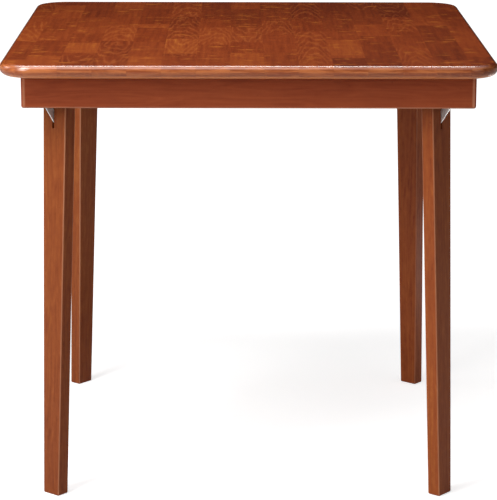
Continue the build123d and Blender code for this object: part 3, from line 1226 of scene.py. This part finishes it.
@dataclass
class Underside:
    """The blocks, brackets and screws under the top."""

    wood_screw: Screw = Screw(
        head_radius=3.2 * MM, head_height=2.2 * MM, shank_radius=1.8 * MM, length=12.0 * MM,
        recess_width=0.9 * MM, recess_depth=1.3 * MM, recess_reach=2.1 * MM,
    )
    turn_step: float = 0.9

    def build(self) -> None:
        """Dress the fixed hardware and build the detailed screws."""
        steel = PlatedSteel("fixing_zinc", (0.60, 0.60, 0.58), 0.25, EVEN, TURNED_LINES).build()
        sheet = PlatedSteel("bracket_zinc", (0.62, 0.62, 0.60), 0.30, (0.06, 1.0, 1.0)).build()
        block = SawnWood().build()
        for corner in CORNERS:
            dress("corner_block_" + corner, block)
            dress("leg_bracket_" + corner, sheet)
            dress("brace_bracket_" + corner, sheet)
            dress("brace_rivet_" + corner, steel)
        self.screws("bracket_screws", steel)
        self.screws("block_screws", steel)

    def screws(self, node: str, steel: bpy.types.Material) -> None:
        """Build a group of wood screws whose heads face down.

        Args:
            node: The node that holds the group.
            steel: The screws' finish.
        """
        mesh = self.wood_screw.build()
        places = []
        for index, points in enumerate(islands(node)):
            middle = sum(points, Vector()) / len(points)
            low = min(p.z for p in points)
            turn = Matrix.Rotation(self.turn_step * index, 4, "Z")
            places.append(Matrix.Translation((middle.x, middle.y, low)) @ turn)
        stand_in(gather(node + "_heads", mesh, places), node, steel, "frame")


@dataclass(frozen=True)
class SoftBox:
    """One soft lamp: a panel of light."""

    name: str
    place: tuple[float, float, float]
    target: tuple[float, float, float]
    size: tuple[float, float]
    power: float

    def build(self) -> None:
        """Make the lamp and aim it."""
        lamp = bpy.data.lights.new(self.name, "AREA")
        lamp.shape = "RECTANGLE"
        lamp.size, lamp.size_y = self.size
        lamp.energy = self.power
        lamp.color = WHITE
        obj = bpy.data.objects.new(self.name, lamp)
        obj.location = self.place
        aim = Vector(self.target) - Vector(self.place)
        obj.rotation_euler = aim.to_track_quat("-Z", "Y").to_euler()
        bpy.context.scene.collection.objects.link(obj)


@dataclass
class Studio:
    """The pale floor, the white background, the lamps and the camera."""

    focal_px: float = 2287.74
    long_side_px: float = 500.0
    sensor: float = 36.0
    eye: tuple[float, float, float] = (-0.019356, -4.044855, 1.320463)
    pitch_deg: float = 13.513
    yaw_deg: float = 0.303
    roll_deg: float = 0.14
    view_end: float = 100.0
    floor_side: float = 60.0
    floor_gap: float = 0.2 * MM
    floor_speckle: Pattern = Pattern(40.0)
    floor_stops: Stops = ((0.3, (0.78, 0.78, 0.78)), (0.7, (0.80, 0.80, 0.80)))
    floor_roughness: float = 0.9
    floor_specular: float = 0.1
    floor_lift: float = 0.68
    lift_band: Band = (0.7, 2.4)
    floor_shine: float = 0.2
    ambient: float = 0.16
    low_glow: float = 0.006
    high_glow: float = 1.0
    horizon: Band = (0.55, 0.95)
    lamps: tuple[SoftBox, ...] = (
        SoftBox("key", (-3.6, -4.2, 2.5), (0.0, 0.0, 0.5), (2.2, 2.2), 114.0),
        SoftBox("overhead", (-0.12, -0.03, 1.70), (-0.10, -0.15, 0.7), (1.6, 0.13), 11.6),
        SoftBox("middle", (-0.40, -0.75, 1.65), (-0.25, -0.35, 0.7), (1.1, 0.5), 4.0),
        SoftBox("front", (-1.2, -1.3, 2.1), (-0.2, -0.2, 0.7), (0.8, 0.8), 22.0),
        SoftBox("left", (-3.5, 0.5, 2.0), (0.0, 0.0, 0.6), (1.5, 1.5), 18.0),
        SoftBox("fill", (2.6, -2.6, 1.6), (0.0, 0.0, 0.5), (1.4, 1.4), 4.0),
        SoftBox("low", (0.95, 0.35, 0.04), (0.335, -0.335, 0.66), (0.30, 0.30), 0.9),
    )

    def camera(self) -> None:
        """Set the camera at the photograph's place, with no shift."""
        pitch, yaw, roll = (math.radians(a) for a in (self.pitch_deg, self.yaw_deg, self.roll_deg))
        level = math.cos(pitch)
        ahead = Vector((math.sin(yaw) * level, math.cos(yaw) * level, -math.sin(pitch)))
        right = ahead.cross(Vector((0, 0, 1))).normalized()
        up = right.cross(ahead)
        side = right * math.cos(roll) + up * math.sin(roll)
        top = up * math.cos(roll) - right * math.sin(roll)
        turn = Matrix((side, top, -ahead)).transposed().to_4x4()
        data = bpy.data.cameras.new("camera")
        data.sensor_width = self.sensor
        data.lens = self.focal_px * self.sensor / self.long_side_px
        data.clip_end = self.view_end
        obj = bpy.data.objects.new("camera", data)
        obj.matrix_world = Matrix.Translation(self.eye) @ turn
        bpy.context.scene.collection.objects.link(obj)
        bpy.context.scene.camera = obj

    def floor(self) -> None:
        """Lay the pale floor, which shows white except where the table shades it."""
        bm = bmesh.new()
        bmesh.ops.create_grid(bm, x_segments=8, y_segments=8, size=self.floor_side / 2)
        bmesh.ops.translate(bm, verts=bm.verts, vec=(0.0, 0.0, -self.floor_gap))
        obj = bpy.data.objects.new("floor", as_mesh(bm, "floor"))
        bpy.context.scene.collection.objects.link(obj)
        g = Graph("pale_floor")
        g.set(Base_Color=g.ramp(self.floor_speckle.lay(g, g.point), self.floor_stops))
        g.set(Roughness=self.floor_roughness, Specular_IOR_Level=self.floor_specular)
        away = g.add("ShaderNodeVectorMath", {0: g.point}, operation="LENGTH").outputs["Value"]
        rise = 1.0 - self.floor_lift
        lift = g.math("MULTIPLY_ADD", g.window(away, *self.lift_band), rise, self.floor_lift)
        path = g.add("ShaderNodeLightPath", {})
        mirrored = g.math("MAXIMUM", path.outputs["Is Glossy Ray"], path.outputs["Is Transmission Ray"])
        mirrored = g.math("MULTIPLY", mirrored, self.floor_shine)
        seen = g.math("MULTIPLY", g.math("MAXIMUM", path.outputs["Is Camera Ray"], mirrored), lift)
        g.set(Emission_Color=rgba(WHITE), Emission_Strength=seen)
        obj.data.materials.append(g.material)

    def world(self) -> None:
        """Light the room evenly, with a white background for the camera and for reflections."""
        world = bpy.data.worlds.new("studio")
        bpy.context.scene.world = world
        world.use_nodes = True
        g = Nodes(world.node_tree)
        height = g.parts(g.add("ShaderNodeTexCoord", {}).outputs["Generated"])[2]
        limits = (*self.horizon, self.low_glow, self.high_glow)
        inputs = {"Value": height, **dict(zip(("From Min", "From Max", "To Min", "To Max"), limits))}
        glow = g.add("ShaderNodeMapRange", inputs, interpolation_type="SMOOTHSTEP").outputs[0]
        path = g.add("ShaderNodeLightPath", {})
        mirrored = g.math("MAXIMUM", path.outputs["Is Glossy Ray"], path.outputs["Is Transmission Ray"])
        soft = g.add("ShaderNodeMix", {0: mirrored, 2: self.ambient, 3: glow}).outputs[0]
        seen = g.add("ShaderNodeMix", {0: path.outputs["Is Camera Ray"], 2: soft, 3: 1.0}).outputs[0]
        back = g.tree.nodes["Background"]
        g.feed(back.inputs["Color"], rgba(WHITE))
        g.feed(back.inputs["Strength"], seen)

    def build(self) -> None:
        """Set up the studio."""
        bpy.context.scene.view_settings.view_transform = "Standard"
        self.camera()
        self.floor()
        self.world()
        for lamp in self.lamps:
            lamp.build()


def main() -> None:
    """Build the looks, sub-assembly by sub-assembly."""
    logging.basicConfig(level=logging.INFO, format="%(message)s")
    Studio().build()
    for assembly in (Tabletop(), Apron(), Legs(), Underside()):
        assembly.build()
        log.info("built %s", type(assembly).__name__)


if __name__ == "__main__":
    main()
